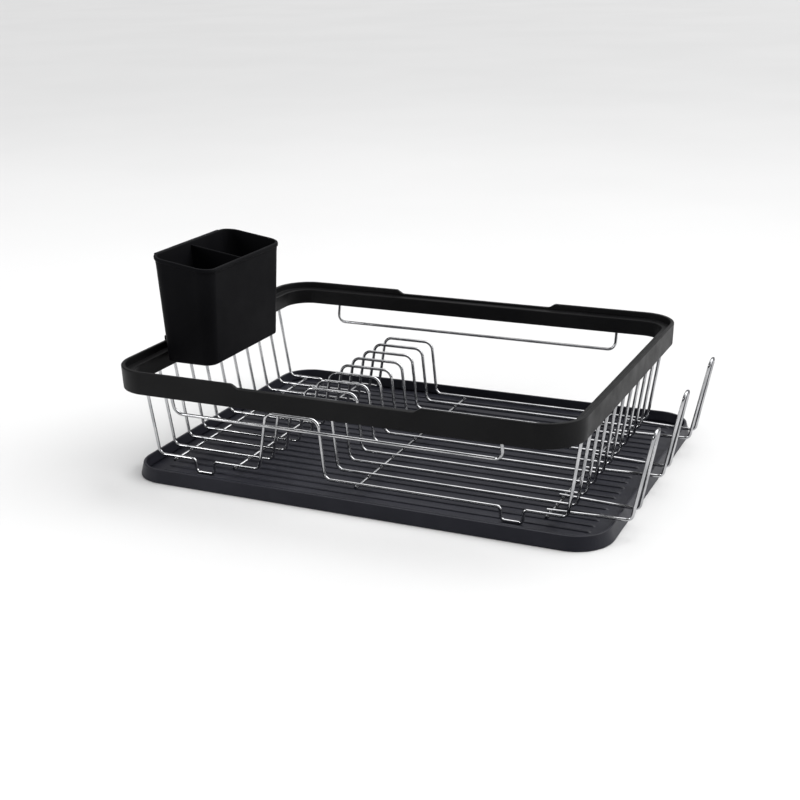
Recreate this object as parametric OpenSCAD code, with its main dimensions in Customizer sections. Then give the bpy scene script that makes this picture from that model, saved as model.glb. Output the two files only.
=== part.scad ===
// Dish drying rack: a wire basket with a moulded rim stands in a ribbed drain tray,
// and a divided utensil cup hooks over the rim's left bar.
// Origin: centre of the tray's footprint on the counter. +X runs to the mug pegs,
// -Y is the front, +Z is up. All sizes are in millimetres.

/* [Overall] */
// Length of the rim, outside
rack_len = 447; // [330:5:560]
// Depth of the rim, outside
rack_dep = 355; // [280:5:440]
// Height of the rim's underside above the counter
rim_z = 92; // [80:1:130]
// How far the basket's centre stands left of the tray's centre
rack_shift_x = 12; // [0:1:14]
// How far the basket's centre stands in front of the tray's centre
rack_shift_y = 4; // [0:1:8]

/* [Drain tray] */
// How much longer the tray is than the rim
tray_extra_len = 20; // [16:1:60]
// How much shallower the tray is than the rim
tray_less_dep = 19; // [0:1:24]
// Height of the tray's wall
tray_h = 12.6; // [10:0.2:16]
// Outside corner radius of the tray
tray_corner_r = 35; // [20:1:60]
// How far the wall's outer face leans in towards the top
tray_lean = 3; // [1:0.5:5]
// Wall thickness at the top edge
tray_wall = 2.2; // [1.4:0.2:3]
// Thickness of the tray's floor
tray_floor_t = 1.8; // [1.2:0.2:2.4]
// Height of the drain ribs above the floor
rib_h = 1.4; // [0.6:0.2:2]
// Width of a rib at its foot
rib_w = 4; // [2:0.5:5]

/* [Rim] */
// Outside corner radius of the rim
rim_corner_r = 36; // [30:1:44]
// Height of the rim at both ends
rim_h = 22; // [18:0.5:30]
// How much lower the two long sides are in the middle
grip_drop = 4.2; // [1:0.2:5]
// Length of the lowered middle
grip_len = 166; // [100:2:200]
// Length of the slope at each end of the lowered middle
grip_slope = 9; // [4:1:20]
// Thickness of the rim below its ledge
rim_t = 11.5; // [10.5:0.1:14]
// Height of the ledge above the rim's underside
ledge_h = 15.5; // [14:0.5:17]
// Thickness of the lip above the ledge
lip_t = 3; // [2:0.2:4]
// How far the lip flares out at the top
rim_flare = 0.8; // [0:0.2:2]
// Thickness of the rim between its channel and its inner face
channel_wall = 1.8; // [1.2:0.1:2]
// Edge chamfer on the rim
rim_edge = 0.7; // [0.3:0.1:0.9]

/* [Wires] */
// Diameter of the basket's wires
wire_d = 3; // [2.4:0.1:3.8]
// Diameter of the hoop inside the rim
hoop_d = 5; // [4:0.1:5.2]
// Distance of the first long wire from the rim's front side
wire_margin = 47; // [46:0.5:60]
// How far a side wall leans out from its foot to the rim
wall_lean = 12; // [6:1:20]
// Bend radius where a side wall meets the floor
wall_bend_r = 6; // [4:0.5:12]
// Distance of the outer cross wires from the foot of the side walls
end_cross_gap = 18; // [12:1:40]

/* [Plate hump] */
// Left foot of the hump, from the basket's centre
hump_left = -95; // [-110:1:-85]
// Right foot of the hump, from the basket's centre
hump_right = -26; // [-40:1:0]
// Height of the hump's centre line above the counter
hump_z = 72; // [60:1:85]
// How far the hump's left leg leans in
hump_lean_left = 10; // [4:1:16]
// How far the hump's right leg leans in
hump_lean_right = 5; // [2:1:12]
// Bend radius at the top of the hump
hump_top_r = 9; // [6:0.5:12]
// Bend radius at the foot of the hump
hump_foot_r = 6; // [4:0.5:10]
// Distance of the left middle cross wire from the hump
cross_gap_left = 26; // [14:1:30]
// Distance of the right middle cross wire from the hump
cross_gap_right = 32; // [14:1:60]

/* [Feet] */
// Distance of a foot's centre from the end of the rim
foot_inset = 69; // [55:1:75]
// Length of a foot between its legs
foot_len = 21.6; // [16:0.2:30]
// Bend radius of the feet
foot_r = 3.4; // [3:0.1:4]

/* [Guards and mug pegs] */
// Distance of a guard's leg from the end of the rim
guard_inset = 64; // [50:1:90]
// How far a guard hangs below the rim
guard_drop = 18; // [10:1:30]
// How far a guard's bar stands in from the hoop
guard_lean = 5; // [2:1:10]
// Bend radius of the guards
guard_r = 8; // [5:0.5:10]
// How far a mug peg's foot stands out past the rim
peg_out = 32.5; // [25:0.5:60]
// How far a mug peg leans out from its foot to its tip
peg_lean = 16; // [8:1:25]
// Height of a mug peg's tip
peg_z = 94; // [70:1:120]
// Gap from a peg's prong to the next long wire, centre to centre
peg_side_gap = 8.4; // [6:0.2:9]
// Half the width of a peg where it bends up
peg_bend_half = 12.5; // [11:0.5:14]
// Half the width of a peg at its tip
peg_tip_half = 8; // [7:0.5:9]
// Bend radius at a peg's foot
peg_bend_r = 5.5; // [4:0.5:8]

/* [Utensil cup] */
// Width of the cup's mouth, along X
cup_w = 66; // [50:1:80]
// Length of the cup's mouth, along Y
cup_len = 142; // [90:2:180]
// Height of the cup on the rim's side
cup_h = 104; // [80:1:140]
// How much lower the mouth is on the side away from the rim
cup_slant = 10; // [0:1:16]
// How far each side draws in towards the bottom
cup_taper = 5; // [2:0.5:8]
// Corner radius at the mouth
cup_corner_r = 15; // [10:1:18]
// Wall thickness of the cup
cup_wall = 2; // [1.6:0.2:3]
// Where the cup's middle stands, from the basket's centre
cup_y = -41; // [-60:1:60]
// How far the cup's floor is above the rim's underside
cup_lift = 9; // [6:1:12]
// How far the cup's wall stands in from the rim's inner face
cup_stand = 3; // [0.4:0.2:5]
// How far the lip on the rim's side of the mouth stands out
cup_lip_out = 2.5; // [1:0.5:5]
// Height of that lip
cup_lip_h = 6; // [3:0.5:10]
// How far the divider's top is below the mouth
divider_drop = 3; // [0:1:20]
// Diameter of a drain hole in the cup's floor
drain_d = 5; // [3:0.5:7]
// Distance between two drain holes along X
drain_step_x = 24; // [16:1:28]
// Distance between two drain holes along Y
drain_step_y = 16; // [10:1:18]
// Length of the hook along the rim
hook_len = 70; // [40:2:100]
// How far the hook hangs down outside the rim
hook_drop = 16; // [10:1:24]
// Thickness of the hook
hook_t = 2.4; // [1.6:0.2:4]

/* [Clearances] */
// Gap between the hoop and the walls of the rim's channel
hoop_gap = 0.2; // [0.1:0.05:0.4]
// Gap between the cup's hook and the rim
cup_gap = 0.6; // [0.4:0.1:1]
// How deep a welded wire bites into the one it crosses
weld_bite = 0.08; // [0.02:0.02:0.12]
// How deep a wire's end bites into the hoop
hoop_bite = 0.2; // [0.1:0.02:0.22]
// Gap between a mug peg's prong and the tray's edge under it
peg_clear = 1.5; // [0.5:0.1:4]
// Gap between a foot and the tray's floor
foot_gap = 0.02; // [0.02:0.02:0.1]

/* [Hidden] */

// Number of long wires, as NODES lists them
wire_n = 11;
// Number of sides on round shapes, enough for a smooth outline
round_fn = 48;
// Number of sides on the cup's rounded corners
hull_fn = 32;
// Overlap that joins shapes of one moulding
join = 0.4;
// How far a cutting shape reaches past what it cuts
cut_over = 2;
// How much thinner a wire is along a bend, where bending draws it out
bend_thinning = 0.06;
// How far a straight stretch covers the end of a bend
bend_cover = 0.12;

chrome_colour = [0.80, 0.81, 0.83];
rim_colour = [0.13, 0.13, 0.14];
tray_colour = [0.15, 0.16, 0.18];

tray_len = rack_len + tray_extra_len;
tray_dep = rack_dep - tray_less_dep;
wire_r = wire_d / 2;
pitch = (rack_dep - 2 * wire_margin) / (wire_n - 1);
floor_z = tray_h + peg_clear + wire_r;
cross_z = floor_z - wire_d + weld_bite;
foot_z = tray_floor_t + wire_r + foot_gap;
// How far each leg of a foot leans in
foot_lean = 1;

channel_w = hoop_d + 2 * hoop_gap;
hoop_inset = rim_t - channel_wall - channel_w / 2;
hoop_x = rack_len / 2 - hoop_inset;
hoop_y = rack_dep / 2 - hoop_inset;
hoop_corner_r = rim_corner_r - hoop_inset;
// Depth of the rim's channel, from its underside
channel_h = 8;
hoop_z = rim_z + channel_h - hoop_gap - hoop_d / 2;
wire_top_z = hoop_z - hoop_d / 2 + hoop_bite;

wall_x = hoop_x - wall_lean;
foot_x = rack_len / 2 - foot_inset;
cross_x_right = wall_x - end_cross_gap;
// How far a cross wire runs on past the last wire it crosses
cross_over = wire_d;

peg_foot_x = rack_len / 2 + peg_out;
peg_root_x = cross_x_right - cross_over;
peg_half = pitch - peg_side_gap;
// Half the straight stretch at a peg's tip, less what the bends take
tip_flat = 1;

rib_pitch = pitch / 2;
// Gap between the ribs' ends and the foot of the tray's wall
rib_margin = 14;
// Width of the sloped foot inside the tray's wall
tray_fillet = 3;
// Edge chamfer on the tray
tray_edge = 0.5;
// Height of the upright toe under the tray's outer face
tray_toe = 1;

lip_outer_x = rack_len / 2 + rim_flare;
cup_floor_z = rim_z + cup_lift;
cup_wall_x = -(rack_len / 2 - rim_t - cup_stand);
// How much smaller the cup's corner radius is at the bottom
cup_corner_draw = 3;
// How far the lip on the rim's side stops below the mouth's edge
cup_edge = 0.4;
// Thickness of the slabs that the cup's block is stretched between
slab = 0.1;
hook_top_z = rim_z + rim_h + cup_gap + hook_t;

// Y of long wire k, counted from 1 at the front
function long_y(k) = (k - (wire_n + 1) / 2) * pitch;

function unit(v) = v / norm(v);

// A wire of diameter d through points, with bend radii at the inner points
module wire_path(points, radii, d) {
    last = len(points) - 1;
    dirs = [for (i = [0 : last - 1]) unit(points[i + 1] - points[i])];
    turns = [for (i = [1 : last - 1]) acos(dirs[i - 1] * dirs[i])];
    cuts = concat(0, [for (i = [0 : last - 2]) radii[i] * tan(turns[i] / 2)], 0);
    for (i = [0 : last - 1]) {
        start = points[i] + dirs[i] * (cuts[i] - (i > 0 ? bend_cover : 0));
        stop = points[i + 1] - dirs[i] * (cuts[i + 1] - (i < last - 1 ? bend_cover : 0));
        rod(start, dirs[i], norm(stop - start), d);
    }
    for (i = [1 : last - 1])
        bend(points[i] - dirs[i - 1] * cuts[i], dirs[i - 1], dirs[i], turns[i - 1], radii[i - 1],
            d - bend_thinning);
}

// A straight round rod from start along the unit vector dir
module rod(start, dir, length, d) {
    side = unit(abs(dir[2]) < 0.9 ? cross([0, 0, 1], dir) : cross([1, 0, 0], dir));
    up = cross(dir, side);
    multmatrix([
        [side[0], up[0], dir[0], start[0]],
        [side[1], up[1], dir[1], start[1]],
        [side[2], up[2], dir[2], start[2]]])
        cylinder(h = length, d = d, $fn = round_fn);
}

// A round bend that leaves start along dir_in and ends along dir_out
module bend(start, dir_in, dir_out, turn, r, d) {
    normal = unit(cross(dir_in, dir_out));
    out = cross(dir_in, normal);
    centre = start - out * r;
    multmatrix([
        [out[0], dir_in[0], normal[0], centre[0]],
        [out[1], dir_in[1], normal[1], centre[1]],
        [out[2], dir_in[2], normal[2], centre[2]]])
        rotate_extrude(angle = turn, $fn = round_fn * 2)
            translate([r, 0]) circle(d = d, $fn = round_fn);
}

// A ring round a rounded rectangle; the child is its section, with X inward from the outline
module ring(length, depth, r) {
    half_x = length / 2 - r;
    half_y = depth / 2 - r;
    for (side = [0, 1]) rotate(180 * side) {
        translate([-half_x, -depth / 2, 0]) rotate([90, 0, 90]) linear_extrude(2 * half_x) children();
        translate([length / 2, -half_y, 0]) rotate([90, 0, 180]) linear_extrude(2 * half_y) children();
        translate([half_x, -half_y, 0]) rotate(-90) rotate_extrude(angle = 90, $fn = round_fn * 2)
            translate([r, 0]) mirror([1, 0]) children();
        translate([half_x, half_y, 0]) rotate_extrude(angle = 90, $fn = round_fn * 2)
            translate([r, 0]) mirror([1, 0]) children();
    }
}

// A flat plate with rounded corners
module plate(length, depth, r, t) {
    linear_extrude(t) union() {
        square([length, depth - 2 * r], center = true);
        square([length - 2 * r, depth], center = true);
        for (x = [-1, 1], y = [-1, 1])
            translate([x * (length / 2 - r), y * (depth / 2 - r)]) circle(r = r, $fn = round_fn * 2);
    }
}

// Everything but the tray shares the basket's place on the tray
module on_basket() {
    translate([-rack_shift_x, -rack_shift_y, 0]) children();
}

module drain_tray() {
    foot_w = tray_lean + tray_wall + tray_fillet;
    rib_len = tray_len - 2 * (foot_w + rib_margin);
    rib_limit = tray_dep / 2 - foot_w - rib_w;
    rib_count = ceil(tray_dep / 2 / rib_pitch);
    color(tray_colour) union() {
        ring(tray_len, tray_dep, tray_corner_r) polygon([
            [0, 0], [0, tray_toe], [tray_lean, tray_h - tray_edge], [tray_lean + tray_edge, tray_h],
            [tray_lean + tray_wall - tray_edge, tray_h], [tray_lean + tray_wall, tray_h - tray_edge],
            [foot_w - tray_toe, tray_floor_t + tray_toe], [foot_w, tray_floor_t], [foot_w, 0]]);
        plate(tray_len - 2 * tray_lean, tray_dep - 2 * tray_lean, tray_corner_r - tray_lean, tray_floor_t);
        for (j = [-rib_count : rib_count]) {
            rib_y = (j + 0.5) * rib_pitch - rack_shift_y;
            if (abs(rib_y) < rib_limit)
                translate([-rib_len / 2, rib_y, tray_floor_t - join]) rotate([90, 0, 90])
                    linear_extrude(rib_len) polygon([
                        [-rib_w / 2, 0], [rib_w / 2, 0], [rib_w / 2, join],
                        [rib_w / 4, rib_h + join], [-rib_w / 4, rib_h + join], [-rib_w / 2, join]]);
        }
    }
}

// Lowers the middle of both long sides, with a slope at each end
module grip_cut() {
    low_z = rim_z + rim_h - grip_drop;
    reach_z = grip_drop + cut_over;
    reach_x = grip_len / 2 + grip_slope * reach_z / grip_drop;
    rotate([90, 0, 0]) linear_extrude(rack_dep + 2 * (rim_flare + cut_over), center = true) polygon([
        [-grip_len / 2, low_z], [grip_len / 2, low_z],
        [reach_x, low_z + reach_z], [-reach_x, low_z + reach_z]]);
}

module rim_band() {
    channel_in = hoop_inset - channel_w / 2;
    channel_out = hoop_inset + channel_w / 2;
    color(rim_colour) on_basket() difference() {
        translate([0, 0, rim_z]) ring(rack_len, rack_dep, rim_corner_r) polygon([
            [0, rim_edge], [-rim_flare, rim_h - rim_edge], [rim_edge - rim_flare, rim_h],
            [lip_t - rim_edge, rim_h], [lip_t, rim_h - rim_edge], [lip_t, ledge_h],
            [rim_t - rim_edge, ledge_h], [rim_t, ledge_h - rim_edge], [rim_t, rim_edge],
            [rim_t - rim_edge, 0], [channel_out, 0], [channel_out, channel_h],
            [channel_in, channel_h], [channel_in, 0], [rim_edge, 0]]);
        grip_cut();
    }
}

module rim_hoop() {
    color(chrome_colour) on_basket() translate([0, 0, hoop_z])
        ring(2 * hoop_x, 2 * hoop_y, hoop_corner_r) circle(d = hoop_d, $fn = round_fn);
}

// Points of one U foot below the floor line, from left to right
function foot_points(x, y) = [
    [x - foot_len / 2, y, floor_z], [x - foot_len / 2 + foot_lean, y, foot_z],
    [x + foot_len / 2 - foot_lean, y, foot_z], [x + foot_len / 2, y, floor_z]];

// A long wire: side wall, floor, hump, floor, side wall, with a foot each side when footed
module long_wire(k, footed) {
    y = long_y(k);
    feet = [for (i = [1 : 4]) foot_r];
    points = concat(
        [[-hoop_x, y, wire_top_z], [-wall_x, y, floor_z]],
        footed ? foot_points(-foot_x, y) : [],
        [[hump_left, y, floor_z], [hump_left + hump_lean_left, y, hump_z],
            [hump_right - hump_lean_right, y, hump_z], [hump_right, y, floor_z]],
        footed ? foot_points(foot_x, y) : [],
        [[wall_x, y, floor_z], [hoop_x, y, wire_top_z]]);
    radii = concat([wall_bend_r], footed ? feet : [],
        [hump_foot_r, hump_top_r, hump_top_r, hump_foot_r], footed ? feet : [], [wall_bend_r]);
    color(chrome_colour) on_basket() wire_path(points, radii, wire_d);
}

// A straight wire under the long wires, from the front one to the rear one
module cross_wire(x) {
    half = long_y(wire_n) + cross_over;
    color(chrome_colour) on_basket() rod([x, -half, cross_z], [0, 1, 0], 2 * half, wire_d);
}

// A U-shaped bar that hangs from the hoop; side is -1 at the front and 1 at the rear
module guard(side) {
    leg_x = rack_len / 2 - guard_inset;
    low_y = side * (hoop_y - guard_lean);
    low_z = rim_z - guard_drop;
    points = [[-leg_x, side * hoop_y, wire_top_z], [-leg_x, low_y, low_z],
        [leg_x, low_y, low_z], [leg_x, side * hoop_y, wire_top_z]];
    color(chrome_colour) on_basket() wire_path(points, [guard_r, guard_r], wire_d);
}

// A mug peg: two prongs on the right cross wire, over the tray's edge and up to a narrow tip
module mug_peg(k) {
    y = long_y(k);
    tip_x = peg_foot_x + peg_lean;
    points = [[peg_root_x, y - peg_half, floor_z], [peg_foot_x, y - peg_bend_half, floor_z],
        [tip_x, y - peg_tip_half, peg_z], [tip_x, y + peg_tip_half, peg_z],
        [peg_foot_x, y + peg_bend_half, floor_z], [peg_root_x, y + peg_half, floor_z]];
    tip_r = peg_tip_half - tip_flat;
    color(chrome_colour) on_basket() wire_path(points, [peg_bend_r, tip_r, tip_r, peg_bend_r], wire_d);
}

// A tapered block with round corners that spans y_min to y_max at the mouth
module cup_block(inset, z_min, y_min, y_max) {
    x_min = cup_wall_x - cup_taper + inset;
    x_max = cup_wall_x - cup_taper + cup_w - inset;
    r_top = cup_corner_r - inset;
    r_low = r_top - cup_corner_draw;
    grow = cup_taper * (z_min - cup_floor_z) / cup_h;
    hull() for (fx = [0, 1], fy = [0, 1]) {
        low_x = fx == 0 ? x_min + cup_taper - grow + r_low : x_max - cup_taper + grow - r_low;
        low_y = fy == 0 ? y_min + cup_taper - grow + r_low : y_max - cup_taper + grow - r_low;
        top_x = fx == 0 ? x_min + r_top : x_max - r_top;
        top_y = fy == 0 ? y_min + r_top : y_max - r_top;
        translate([low_x, low_y, z_min]) cylinder(r = r_low, h = slab, $fn = hull_fn);
        translate([top_x, top_y, cup_floor_z + cup_h]) cylinder(r = r_top, h = slab, $fn = hull_fn);
    }
}

module utensil_cup() {
    y_min = cup_y - cup_len / 2;
    y_max = cup_y + cup_len / 2;
    x_min = cup_wall_x - cup_taper;
    top_z = cup_floor_z + cup_h;
    slant = atan(cup_slant / cup_w);
    hook_x = -(lip_outer_x + cup_gap + hook_t);
    bay_len = (cup_len - cup_wall) / 2;
    color(rim_colour) on_basket() union() {
        difference() {
            cup_block(0, cup_floor_z, y_min, y_max);
            intersection() {
                cup_block(cup_wall, cup_floor_z + cup_wall, y_min + cup_wall, y_max - cup_wall);
                union() {
                    for (bay_y = [y_min, y_max - bay_len])
                        translate([x_min, bay_y, cup_floor_z]) cube([cup_w, bay_len, 2 * cup_h]);
                    translate([x_min, y_min, top_z - divider_drop]) rotate([0, slant, 0])
                        cube([2 * cup_w, cup_len, cup_h]);
                }
            }
            translate([x_min, y_min - cut_over, top_z]) rotate([0, slant, 0])
                translate([-cup_w / 2, 0, 0]) cube([2 * cup_w, cup_len + 2 * cut_over, cup_h]);
            for (side = [-1, 1], i = [-1 : 1], j = [-1, 1])
                translate([x_min + (cup_w + drain_step_x * j) / 2,
                    cup_y + side * cup_len / 4 + drain_step_y * i, cup_floor_z - cut_over])
                    cylinder(h = cup_wall + 2 * cut_over, d = drain_d, $fn = round_fn);
        }
        translate([hook_x, cup_y - hook_len / 2, hook_top_z - hook_t])
            cube([cup_wall_x - hook_x, hook_len, hook_t]);
        translate([hook_x, cup_y - hook_len / 2, hook_top_z - hook_drop])
            cube([hook_t, hook_len, hook_drop]);
        translate([x_min - cup_lip_out, y_min + cup_corner_r, top_z - cup_lip_h - cup_edge])
            cube([cup_lip_out + cup_wall / 2, cup_len - 2 * cup_corner_r, cup_lip_h]);
    }
}

drain_tray();
rim_band();
rim_hoop();
long_wire(1, true);  // long_wire_01
long_wire(2, false);  // long_wire_02
long_wire(3, false);  // long_wire_03
long_wire(4, false);  // long_wire_04
long_wire(5, false);  // long_wire_05
long_wire(6, false);  // long_wire_06
long_wire(7, false);  // long_wire_07
long_wire(8, false);  // long_wire_08
long_wire(9, false);  // long_wire_09
long_wire(10, false);  // long_wire_10
long_wire(11, true);  // long_wire_11
cross_wire(-cross_x_right);  // cross_wire_left
cross_wire(hump_left - cross_gap_left);  // cross_wire_hump_left
cross_wire(hump_right + cross_gap_right);  // cross_wire_hump_right
cross_wire(cross_x_right);  // cross_wire_right
guard(-1);  // guard_front
guard(1);  // guard_rear
mug_peg(2);  // mug_peg_front
mug_peg(6);  // mug_peg_middle
mug_peg(10);  // mug_peg_rear
utensil_cup();
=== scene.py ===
"""Dish drying rack: the looks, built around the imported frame.

The wires keep their CAD shape and get a chrome finish. The rim, the utensil cup and the
drain tray are moulded plastic, so each is swept or lofted here with rounded edges.
"""

import math

import bmesh
import bpy
from mathutils import Matrix, Vector, noise


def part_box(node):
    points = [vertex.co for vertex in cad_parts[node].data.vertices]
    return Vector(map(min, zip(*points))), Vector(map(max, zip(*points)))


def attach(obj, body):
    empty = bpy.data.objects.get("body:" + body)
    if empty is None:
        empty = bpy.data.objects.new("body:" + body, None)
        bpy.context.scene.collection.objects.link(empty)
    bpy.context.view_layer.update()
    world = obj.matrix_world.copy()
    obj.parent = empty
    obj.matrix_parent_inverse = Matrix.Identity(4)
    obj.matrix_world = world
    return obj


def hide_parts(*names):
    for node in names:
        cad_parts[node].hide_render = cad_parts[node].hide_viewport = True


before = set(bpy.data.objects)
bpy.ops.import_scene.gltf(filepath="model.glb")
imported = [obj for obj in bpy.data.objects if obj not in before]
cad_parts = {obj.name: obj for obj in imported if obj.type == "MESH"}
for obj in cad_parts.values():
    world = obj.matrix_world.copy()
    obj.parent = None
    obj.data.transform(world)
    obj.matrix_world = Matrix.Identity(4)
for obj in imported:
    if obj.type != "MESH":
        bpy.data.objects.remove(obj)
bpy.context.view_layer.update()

MM = 0.001
SMOOTH_ANGLE = math.radians(35)
ARC_STEPS = 20

# Camera, from the photograph's viewing angle
CAMERA_AZIMUTH = math.radians(24.82)
CAMERA_ELEVATION = math.radians(18.99)
CAMERA_ROLL = math.radians(-1.3)
CAMERA_DISTANCE = 1.25
CAMERA_LENS = 61.05
CAMERA_LOOK_AT = Vector((10.9, -73.7, 78.4)) * MM

# Studio light: where each lamp stands in metres, the side of a soft box, and its power in watts
SUN_PLACE = Vector((1.1, 1.2, 2.0))
SUN_ENERGY = 2.3
SUN_SPREAD = math.radians(55)
SOFT_BOXES = (
    ("box_right", Vector((1.9, 0.2, 0.9)), 1.1, 9),
    ("box_top", Vector((-0.3, 0.5, 2.2)), 1.6, 16),
    ("box_left", Vector((-1.5, -1.5, 1.0)), 0.8, 15),
)
SKY_BRIGHT_SIDE = (0.35, 0.4, 0.85)
SKY_ENERGY = 0.9
BACKDROP = (0.93, 0.93, 0.93, 1)
FLOOR_REACH = 30.0


# ---------------------------------------------------------------- camera, light, floor

def make_camera():
    a, e = CAMERA_AZIMUTH, CAMERA_ELEVATION
    forward = Vector((-math.sin(a) * math.cos(e), math.cos(a) * math.cos(e), -math.sin(e)))
    level = Vector((math.cos(a), math.sin(a), 0))
    upright = level.cross(forward)
    right = level * math.cos(CAMERA_ROLL) + upright * math.sin(CAMERA_ROLL)
    up = right.cross(forward)
    data = bpy.data.cameras.new("camera")
    data.lens = CAMERA_LENS
    data.sensor_width = 36
    camera = bpy.data.objects.new("camera", data)
    camera.matrix_world = Matrix((right, up, -forward)).transposed().to_4x4()
    camera.location = CAMERA_LOOK_AT - forward * CAMERA_DISTANCE
    bpy.context.collection.objects.link(camera)
    bpy.context.scene.camera = camera


def aim(lamp, place, target=Vector((0, 0, 0.06))):
    lamp.location = place
    lamp.rotation_euler = (target - place).to_track_quat("-Z", "Y").to_euler()
    bpy.context.collection.objects.link(lamp)


def make_lights():
    sun = bpy.data.lights.new("key", "SUN")
    sun.energy = SUN_ENERGY
    sun.angle = SUN_SPREAD
    aim(bpy.data.objects.new("key", sun), SUN_PLACE)
    for name, place, size, energy in SOFT_BOXES:
        data = bpy.data.lights.new(name, "AREA")
        data.size = size
        data.energy = energy
        aim(bpy.data.objects.new(name, data), place)


def make_world():
    """Bright above the right rear and dark towards the front left, so that the chrome has
    something dark to mirror. The camera itself sees a plain pale backdrop there."""
    world = bpy.data.worlds.new("studio")
    world.use_nodes = True
    bpy.context.scene.world = world
    nodes, links = world.node_tree.nodes, world.node_tree.links
    sky = nodes["Background"]
    place = nodes.new("ShaderNodeTexCoord")
    facing = nodes.new("ShaderNodeVectorMath")
    facing.operation = "DOT_PRODUCT"
    facing.inputs[1].default_value = SKY_BRIGHT_SIDE
    ramp = nodes.new("ShaderNodeValToRGB")
    ramp.color_ramp.elements[0].position = 0.05
    ramp.color_ramp.elements[0].color = (0.05, 0.05, 0.055, 1)
    ramp.color_ramp.elements[1].position = 0.8
    ramp.color_ramp.elements[1].color = (1, 1, 1, 1)
    links.new(place.outputs["Generated"], facing.inputs[0])
    links.new(facing.outputs["Value"], ramp.inputs[0])
    links.new(ramp.outputs[0], sky.inputs["Color"])
    sky.inputs["Strength"].default_value = SKY_ENERGY
    backdrop = nodes.new("ShaderNodeBackground")
    backdrop.inputs["Color"].default_value = BACKDROP
    seen = nodes.new("ShaderNodeLightPath")
    choice = nodes.new("ShaderNodeMixShader")
    links.new(seen.outputs["Is Camera Ray"], choice.inputs[0])
    links.new(sky.outputs[0], choice.inputs[1])
    links.new(backdrop.outputs[0], choice.inputs[2])
    links.new(choice.outputs[0], nodes["World Output"].inputs["Surface"])


def make_floor():
    reach = FLOOR_REACH
    corners = [(-reach, -reach, 0), (reach, -reach, 0), (reach, reach, 0), (-reach, reach, 0)]
    mesh = bpy.data.meshes.new("floor")
    mesh.from_pydata(corners, [], [(0, 1, 2, 3)])
    floor = bpy.data.objects.new("floor", mesh)
    floor.location.z = -0.2 * MM
    bpy.context.collection.objects.link(floor)
    mesh.materials.append(floor_finish())


# ---------------------------------------------------------------- finishes

def new_finish(name):
    material = bpy.data.materials.new(name)
    material.use_nodes = True
    tree = material.node_tree
    return material, tree, tree.nodes["Principled BSDF"]


def noise_in(tree, scale, detail=3.0):
    """A noise pattern in the object's own metres; scale is waves per metre."""
    place = tree.nodes.new("ShaderNodeTexCoord")
    pattern = tree.nodes.new("ShaderNodeTexNoise")
    pattern.inputs["Scale"].default_value = scale
    pattern.inputs["Detail"].default_value = detail
    tree.links.new(place.outputs["Object"], pattern.inputs["Vector"])
    return pattern.outputs["Fac"]


def tint(tree, fac, low, high, socket):
    ramp = tree.nodes.new("ShaderNodeValToRGB")
    ramp.color_ramp.elements[0].position = 0.35
    ramp.color_ramp.elements[0].color = (*low, 1)
    ramp.color_ramp.elements[1].position = 0.65
    ramp.color_ramp.elements[1].color = (*high, 1)
    tree.links.new(fac, ramp.inputs[0])
    tree.links.new(ramp.outputs[0], socket)


def spread(tree, fac, low, high, socket):
    span = tree.nodes.new("ShaderNodeMapRange")
    span.inputs["From Min"].default_value = 0.3
    span.inputs["From Max"].default_value = 0.7
    span.inputs["To Min"].default_value = low
    span.inputs["To Max"].default_value = high
    tree.links.new(fac, span.inputs["Value"])
    tree.links.new(span.outputs[0], socket)


def bump(tree, shader, fac, distance, strength):
    relief = tree.nodes.new("ShaderNodeBump")
    relief.inputs["Distance"].default_value = distance
    relief.inputs["Strength"].default_value = strength
    tree.links.new(fac, relief.inputs["Height"])
    tree.links.new(relief.outputs[0], shader.inputs["Normal"])


def plastic(name, low, high, rough, grain, gloss):
    """Moulded plastic: faint flow marks, uneven sheen and a fine spark-eroded grain."""
    material, tree, shader = new_finish(name)
    shader.inputs["Specular IOR Level"].default_value = gloss
    tint(tree, noise_in(tree, 18), low, high, shader.inputs["Base Color"])
    spread(tree, noise_in(tree, 60), rough[0], rough[1], shader.inputs["Roughness"])
    bump(tree, shader, noise_in(tree, grain, 2.0), 0.05 * MM, 0.5)
    return material


def chrome():
    """Plated wire: near white metal, with faint draw marks and slightly dull patches."""
    material, tree, shader = new_finish("chrome_wire")
    shader.inputs["Metallic"].default_value = 1.0
    shader.inputs["Specular Tint"].default_value = (0.25, 0.25, 0.26, 1)
    tint(tree, noise_in(tree, 45), (0.36, 0.365, 0.375), (0.56, 0.56, 0.57),
         shader.inputs["Base Color"])
    spread(tree, noise_in(tree, 120), 0.07, 0.17, shader.inputs["Roughness"])
    bump(tree, shader, noise_in(tree, 420, 2.0), 0.04 * MM, 0.35)
    return material


def floor_finish():
    material, tree, shader = new_finish("floor")
    shader.inputs["Roughness"].default_value = 0.6
    shader.inputs["Specular IOR Level"].default_value = 0.25
    tint(tree, noise_in(tree, 1.5), (0.65, 0.65, 0.65), (0.67, 0.67, 0.67),
         shader.inputs["Base Color"])
    return material


# ---------------------------------------------------------------- mesh helpers

def outline(half_x, half_y, radius, x_marks=()):
    """Points and inward directions round a rounded rectangle, with extra points at x_marks
    along the two long sides."""
    route = []
    for quarter, (sx, sy) in enumerate(((1, 1), (-1, 1), (-1, -1), (1, -1))):
        centre = Vector((sx * (half_x - radius), sy * (half_y - radius)))
        for step in range(ARC_STEPS + 1):
            angle = (quarter + step / ARC_STEPS) * math.pi / 2
            out = Vector((math.cos(angle), math.sin(angle)))
            route.append((centre + out * radius, -out))
        if quarter in (0, 2):
            for x in sorted(x_marks, reverse=quarter == 0):
                route.append((Vector((x, sy * half_y)), Vector((0, -sy))))
    return route


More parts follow.
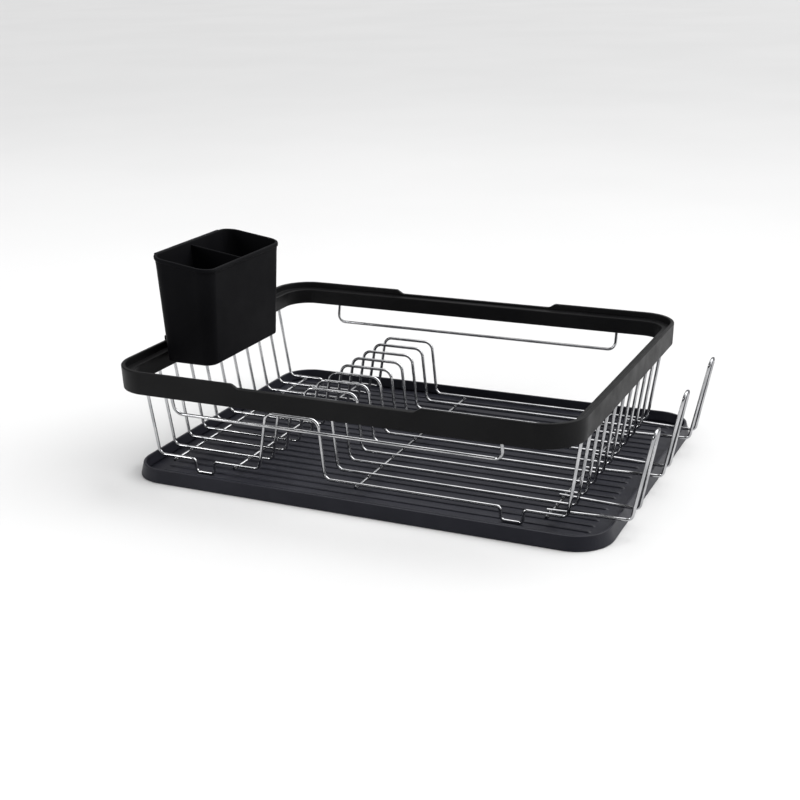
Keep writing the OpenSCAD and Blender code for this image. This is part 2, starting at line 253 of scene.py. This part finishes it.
def fillet(corners, steps=4):
    """A closed section given as (x, z, radius) corners, with each corner rounded."""
    section = []
    for i, (x, z, radius) in enumerate(corners):
        here = Vector((x, z))
        before = (Vector(corners[i - 1][:2]) - here).normalized()
        after = (Vector(corners[(i + 1) % len(corners)][:2]) - here).normalized()
        if radius == 0:
            section.append(here)
            continue
        half = before.angle(after) / 2
        centre = here + (before + after).normalized() * radius / math.sin(half)
        first = (here + before * radius / math.tan(half) - centre).normalized()
        last = (here + after * radius / math.tan(half) - centre).normalized()
        section += [centre + first.slerp(last, s / steps) * radius for s in range(steps + 1)]
    return section


def loft(bm, rings, closed):
    """Joins rings of points with quads; closed also joins the last ring to the first."""
    made = [[bm.verts.new(p) for p in ring] for ring in rings]
    count = len(made)
    for i in range(count if closed else count - 1):
        a, b = made[i], made[(i + 1) % count]
        for j in range(len(a)):
            k = (j + 1) % len(a)
            bm.faces.new((a[j], a[k], b[k], b[j]))
    return made


def finish_piece(name, bm, material, body, nodes=()):
    """Turns a bmesh into a piece that rides on a body, with soft shading and true flats."""
    bmesh.ops.recalc_face_normals(bm, faces=bm.faces)
    mesh = bpy.data.meshes.new(name)
    bm.to_mesh(mesh)
    bm.free()
    mesh.shade_smooth()
    mesh.set_sharp_from_angle(angle=SMOOTH_ANGLE)
    mesh.materials.append(material)
    piece = bpy.data.objects.new(name, mesh)
    bpy.context.collection.objects.link(piece)
    normals = piece.modifiers.new("flats", "WEIGHTED_NORMAL")
    normals.keep_sharp = True
    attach(piece, body)
    if nodes:
        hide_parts(*nodes)
    return piece


def middle(node):
    low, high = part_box(node)
    return (low + high) / 2


# ---------------------------------------------------------------- rim

RIM_FLARE = 0.8 * MM
RIM_RADIUS = 36 * MM
RIM_THICK = 11.5 * MM
LIP_THICK = 3 * MM
LEDGE_HEIGHT = 15.5 * MM
CHANNEL_DEPTH = 8 * MM
CHANNEL_WIDTH = 5.4 * MM
CHANNEL_WALL = 1.8 * MM
GRIP_DROP = 4.2 * MM
GRIP_HALF = 83 * MM
GRIP_SLOPE = 9 * MM


def grip_share(x):
    """0 where the rim is full height and 1 in the lowered middle, with an eased slope."""
    t = min(max((GRIP_HALF + GRIP_SLOPE - abs(x)) / GRIP_SLOPE, 0), 1)
    return t * t * (3 - 2 * t)


def make_rim(material):
    low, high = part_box("rim_band")
    centre = (low + high) / 2
    half = (high - low) / 2
    height = high.z - low.z
    channel_out = RIM_THICK - CHANNEL_WALL
    channel_in = channel_out - CHANNEL_WIDTH
    edge = 1.1 * MM
    section = fillet([
        (0, 0, 0.8 * MM), (-RIM_FLARE, height, edge), (LIP_THICK, height, edge),
        (LIP_THICK, LEDGE_HEIGHT, 0.8 * MM), (RIM_THICK, LEDGE_HEIGHT, edge),
        (RIM_THICK, 0, 0.8 * MM), (channel_out, 0, 0.3 * MM),
        (channel_out, CHANNEL_DEPTH, 0.6 * MM),
        (channel_in, CHANNEL_DEPTH, 0.6 * MM), (channel_in, 0, 0.3 * MM)])
    slope = [GRIP_HALF + GRIP_SLOPE * i / 8 for i in range(9)]
    marks = [-x for x in slope] + slope
    route = outline(half.x - RIM_FLARE, half.y - RIM_FLARE, RIM_RADIUS, marks)
    lip = height - LEDGE_HEIGHT
    rings = []
    for spot, inward in route:
        on_long_side = abs(inward.x) < 0.001
        drop = GRIP_DROP * grip_share(spot.x) if on_long_side else 0
        ring = []
        for inset, z in section:
            place = spot + inward * inset
            lowered = z - drop * max(z - LEDGE_HEIGHT, 0) / lip
            ring.append(Vector((place.x + centre.x, place.y + centre.y, low.z + lowered)))
        rings.append(ring)
    bm = bmesh.new()
    loft(bm, rings, True)
    finish_piece("rim_moulding", bm, material, "rack", ["rim_band"])


# ---------------------------------------------------------------- tray

TRAY_RADIUS = 35 * MM
TRAY_LEAN = 3 * MM
TRAY_WALL = 2.2 * MM
TRAY_FLOOR = 1.8 * MM
RIB_HEIGHT = 1.4 * MM
RIB_WIDTH = 4 * MM
RIB_MARGIN = 14 * MM


def make_tray(material):
    low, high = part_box("drain_tray")
    centre = (low + high) / 2
    half = (high - low) / 2
    height = high.z - low.z
    foot = TRAY_LEAN + TRAY_WALL + 3 * MM
    edge = 0.8 * MM
    section = fillet([
        (0, 0, 0.5 * MM), (0, 1 * MM, 0.4 * MM), (TRAY_LEAN, height, edge),
        (TRAY_LEAN + TRAY_WALL, height, edge), (foot - 1.5 * MM, TRAY_FLOOR, 2.2 * MM)], 5)
    corner = (foot + 1 * MM, TRAY_FLOOR), (foot + 1 * MM, 0)
    section += [Vector(c) for c in corner]
    route = outline(half.x, half.y, TRAY_RADIUS)
    rings = [[Vector((*(spot + inward * inset + centre.xy), low.z + z)) for inset, z in section]
             for spot, inward in route]
    bm = bmesh.new()
    made = loft(bm, rings, True)
    bm.faces.new([ring[-2] for ring in made])
    bm.faces.new([ring[-1] for ring in made])
    inner = [f for f in bm.faces if {ring[-1] for ring in made} & set(f.verts)
             and {ring[-2] for ring in made} & set(f.verts) and len(f.verts) == 4]
    bmesh.ops.delete(bm, geom=inner, context="FACES_ONLY")
    add_ribs(bm, half, centre, low.z, foot)
    finish_piece("tray_moulding", bm, material, "tray", ["drain_tray"])


def add_ribs(bm, half, centre, base_z, foot):
    """Long drain ribs with a rounded crest and ends that sink into the floor."""
    pitch = (middle("long_wire_02").y - middle("long_wire_01").y) / 2
    rack_y = middle("long_wire_06").y
    reach_y = half.y - foot - RIB_WIDTH
    reach_x = half.x - foot - RIB_MARGIN
    sink = 0.3 * MM
    stations = [(-1, 0), (-0.992, 0.7), (-0.98, 1), (0, 1), (0.98, 1), (0.992, 0.7), (1, 0)]
    turns = 8
    count = int(reach_y / pitch) + 2
    for j in range(-count, count):
        y = rack_y + (j + 0.5) * pitch
        if abs(y - centre.y) > reach_y:
            continue
        rings = []
        for along, rise in stations:
            ring = []
            for t in range(turns + 1):
                angle = math.pi * t / turns
                crest = math.sin(angle) ** 0.8 * RIB_HEIGHT * rise
                ring.append(Vector((centre.x + along * reach_x,
                                    y - math.cos(angle) * RIB_WIDTH / 2,
                                    base_z + TRAY_FLOOR + crest)))
            ring += [Vector((ring[-1].x, ring[-1].y, ring[-1].z - sink)),
                     Vector((ring[0].x, ring[0].y, ring[0].z - sink))]
            rings.append(ring)
        made = loft(bm, rings, False)
        bm.faces.new(made[0])
        bm.faces.new(made[-1])


# ---------------------------------------------------------------- utensil cup

CUP_WIDTH = 66 * MM
CUP_TAPER = 5 * MM
CUP_RADIUS = 15 * MM
CUP_RADIUS_LOW = 12 * MM
CUP_WALL = 2 * MM
CUP_SLANT = 10 * MM
DIVIDER_DROP = 3 * MM
DRAIN_RADIUS = 2.5 * MM
DRAIN_STEP_X = 12 * MM
DRAIN_STEP_Y = 16 * MM
HOOK_THICK = 2.4 * MM
HOOK_DROP = 16 * MM
HOOK_LENGTH = 70 * MM
LIP_OUT = 2.5 * MM
LIP_TALL = 6 * MM


class Cup:
    """Where the cup's walls are, worked out from its CAD box."""

    def __init__(self):
        self.low, self.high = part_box("utensil_cup")
        self.right = self.high.x
        self.left = self.right - CUP_WIDTH
        self.half = Vector((CUP_WIDTH / 2, (self.high.y - self.low.y) / 2))
        self.centre = Vector(((self.left + self.right) / 2, (self.low.y + self.high.y) / 2))
        self.floor = middle("rim_hoop").z + 3.7 * MM
        self.height = self.high.z - self.floor

    def top(self, x):
        """Height of the slanted mouth above x."""
        return self.high.z - CUP_SLANT * (x - self.left) / CUP_WIDTH

    def ring(self, rise, inset, sink=0.0):
        """A loop round the wall. Rise is 0 at the floor and 1 at the mouth; sink drops it."""
        draw = CUP_TAPER * (1 - rise) + inset
        radius = CUP_RADIUS_LOW + (CUP_RADIUS - CUP_RADIUS_LOW) * rise - inset
        loop = []
        for spot, _ in outline(self.half.x - draw, self.half.y - draw, radius):
            x = spot.x + self.centre.x
            z = self.floor + (self.top(x) - self.floor) * rise - sink
            loop.append(Vector((x, spot.y + self.centre.y, z)))
        return loop


def make_cup(material):
    cup = Cup()
    bead = 1.1 * MM
    bead_tall = 3.2 * MM
    foot = 1.6 * MM
    bm = bmesh.new()
    outer = [cup.ring(foot * (1 - math.cos(a)) / cup.height, bead + foot * (1 - math.sin(a)))
             for a in (math.pi / 8 * i for i in range(5))]
    outer += [cup.ring(r, bead) for r in (0.04, 0.3, 0.6, 0.9)]
    outer += [cup.ring(1, bead, bead_tall + 0.9 * MM), cup.ring(1, 0.25 * MM, bead_tall + 0.2 * MM),
              cup.ring(1, 0, bead_tall - 0.6 * MM), cup.ring(1, 0, 0.8 * MM)]
    brim = [cup.ring(1, 0.35 * MM, 0.2 * MM), cup.ring(1, 0.9 * MM),
            cup.ring(1, 2.0 * MM), cup.ring(1, 2.7 * MM, 0.3 * MM), cup.ring(1, 3.0 * MM, 1 * MM)]
    inner = [cup.ring(r, bead + CUP_WALL) for r in (0.9, 0.5, 0.08)]
    inner += [cup.ring(0.035, bead + CUP_WALL + 1 * MM), cup.ring(0.02, bead + CUP_WALL + 3 * MM)]
    made = loft(bm, outer + brim + inner, False)
    bm.faces.new(made[0])
    bm.faces.new(made[-1])
    body = finish_piece("cup_moulding", bm, material, "cup", ["utensil_cup"])
    drill_floor(body, cup)
    make_divider(cup, material)
    make_hook(cup, material)


def drill_floor(body, cup):
    """Cuts the drain holes with one cutter made of all of them, then drops the cutter."""
    bm = bmesh.new()
    for side in (-1, 1):
        for i in (-1, 0, 1):
            for j in (-1, 1):
                x = cup.centre.x + DRAIN_STEP_X * j
                y = cup.centre.y + side * cup.half.y / 2 + DRAIN_STEP_Y * i
                place = Matrix.Translation((x, y, cup.floor))
                bmesh.ops.create_cone(bm, cap_ends=True, segments=24, radius1=DRAIN_RADIUS,
                                      radius2=DRAIN_RADIUS, depth=10 * MM, matrix=place)
    mesh = bpy.data.meshes.new("cutter")
    bm.to_mesh(mesh)
    bm.free()
    cutter = bpy.data.objects.new("cutter", mesh)
    bpy.context.collection.objects.link(cutter)
    cut = body.modifiers.new("holes", "BOOLEAN")
    cut.object = cutter
    cut.solver = "EXACT"
    bpy.context.view_layer.objects.active = body
    bpy.ops.object.modifier_move_to_index(modifier="holes", index=0)
    bpy.ops.object.modifier_apply(modifier="holes")
    bpy.data.objects.remove(cutter)


def box_bar(bm, low, high, edge):
    """A block with rounded long edges, run along Y."""
    section = fillet([(low.x, low.z, edge), (low.x, high.z, edge), (high.x, high.z, edge),
                      (high.x, low.z, edge)])
    made = loft(bm, [[Vector((x, y, z)) for x, z in section] for y in (low.y, high.y)], False)
    bm.faces.new(made[0])
    bm.faces.new(made[-1])


def make_divider(cup, material):
    """A thin wall across the cup, a little below the slanted mouth, with a rounded top edge."""
    bm = bmesh.new()
    thick = CUP_WALL / 2
    low_z = cup.floor + 1 * MM
    rings = []
    for x, lean in ((cup.left + 2.6 * MM, 1), (cup.right - 2.6 * MM, -1)):
        top = cup.top(x) - DIVIDER_DROP
        low_x = x + lean * (CUP_TAPER + 0.2 * MM)
        ring = [Vector((low_x, cup.centre.y + s * thick, low_z)) for s in (1, -1)]
        for t in range(7):
            angle = math.pi * (1 + t / 6)
            ring.append(Vector((x, cup.centre.y + thick * math.cos(angle),
                                top - thick - thick * math.sin(angle))))
        rings.append(ring)
    made = loft(bm, rings, False)
    bm.faces.new(made[0])
    bm.faces.new(made[-1])
    finish_piece("cup_divider", bm, material, "cup")


def make_hook(cup, material):
    """The strap over the rim's lip and the tongue that hangs outside it."""
    bm = bmesh.new()
    half_y = HOOK_LENGTH / 2
    outer = cup.low.x
    top = middle("rim_band").z + 11 * MM + 3 * MM
    box_bar(bm, Vector((outer, cup.centre.y - half_y, top - HOOK_THICK)),
            Vector((cup.left + CUP_TAPER, cup.centre.y + half_y, top)), 0.7 * MM)
    box_bar(bm, Vector((outer, cup.centre.y - half_y, top - HOOK_DROP)),
            Vector((outer + HOOK_THICK, cup.centre.y + half_y, top)), 0.7 * MM)
    lip_y = cup.half.y - CUP_RADIUS
    lip_top = cup.high.z - 0.4 * MM
    box_bar(bm, Vector((cup.left - LIP_OUT, cup.centre.y - lip_y, lip_top - LIP_TALL)),
            Vector((cup.left + 1 * MM, cup.centre.y + lip_y, lip_top)), 0.5 * MM)
    finish_piece("cup_hook", bm, material, "cup")


# ---------------------------------------------------------------- wires and welds

NUGGET_HALF_WIDTH = 1.75
NUGGET_HALF_HEIGHT = 0.75
NUGGET_VARIATION = 0.12


def make_welds(material):
    """A small squashed nugget at each crossing, where resistance welding sinks wire into wire."""
    crosses = [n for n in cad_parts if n.startswith("cross_wire")]
    spots = []
    for cross in sorted(crosses):
        low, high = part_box(cross)
        x, z = (low.x + high.x) / 2, high.z
        for node in sorted(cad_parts):
            if node.startswith("long_wire"):
                spots.append(Vector((x, middle(node).y, z)))
            if node.startswith("mug_peg") and cross == "cross_wire_right":
                peg_low, peg_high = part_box(node)
                radius = (high.z - low.z) / 2
                spots += [Vector((x, peg_low.y + radius, z)), Vector((x, peg_high.y - radius, z))]
    bm = bmesh.new()
    for n, spot in enumerate(spots):
        size = (1 + NUGGET_VARIATION * noise.noise(Vector((n * 3.1, 0.5, 0)))) * MM
        half = (NUGGET_HALF_WIDTH * size, NUGGET_HALF_WIDTH * size, NUGGET_HALF_HEIGHT * size, 1)
        shape = Matrix.Translation(spot) @ Matrix.Diagonal(half)
        made = bmesh.ops.create_icosphere(bm, subdivisions=3, radius=1, matrix=shape)
        for v in made["verts"]:
            wobble = noise.noise(v.co * 900) * 0.12 * MM
            v.co += (v.co - spot).normalized() * wobble
    finish_piece("weld_nuggets", bm, material, "rack")


def finish_wires(material):
    for name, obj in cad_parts.items():
        if name.startswith(("long_wire", "cross_wire", "guard", "mug_peg", "rim_hoop")):
            for slot in obj.material_slots:
                slot.material = material


make_camera()
make_world()
make_lights()
make_floor()
bpy.context.scene.view_settings.view_transform = "Standard"

wire_chrome = chrome()
make_rim(plastic("rim_plastic", (0.0064, 0.0064, 0.0068), (0.0090, 0.0090, 0.0095),
                 (0.36, 0.48), 2600, 0.08))
make_tray(plastic("tray_plastic", (0.0125, 0.0129, 0.0185), (0.0170, 0.0175, 0.0245),
                  (0.36, 0.48), 2200, 0.20))
make_cup(plastic("cup_plastic", (0.0046, 0.0046, 0.0054), (0.0064, 0.0064, 0.0073),
                 (0.40, 0.50), 2800, 0.02))
make_welds(wire_chrome)
finish_wires(wire_chrome)
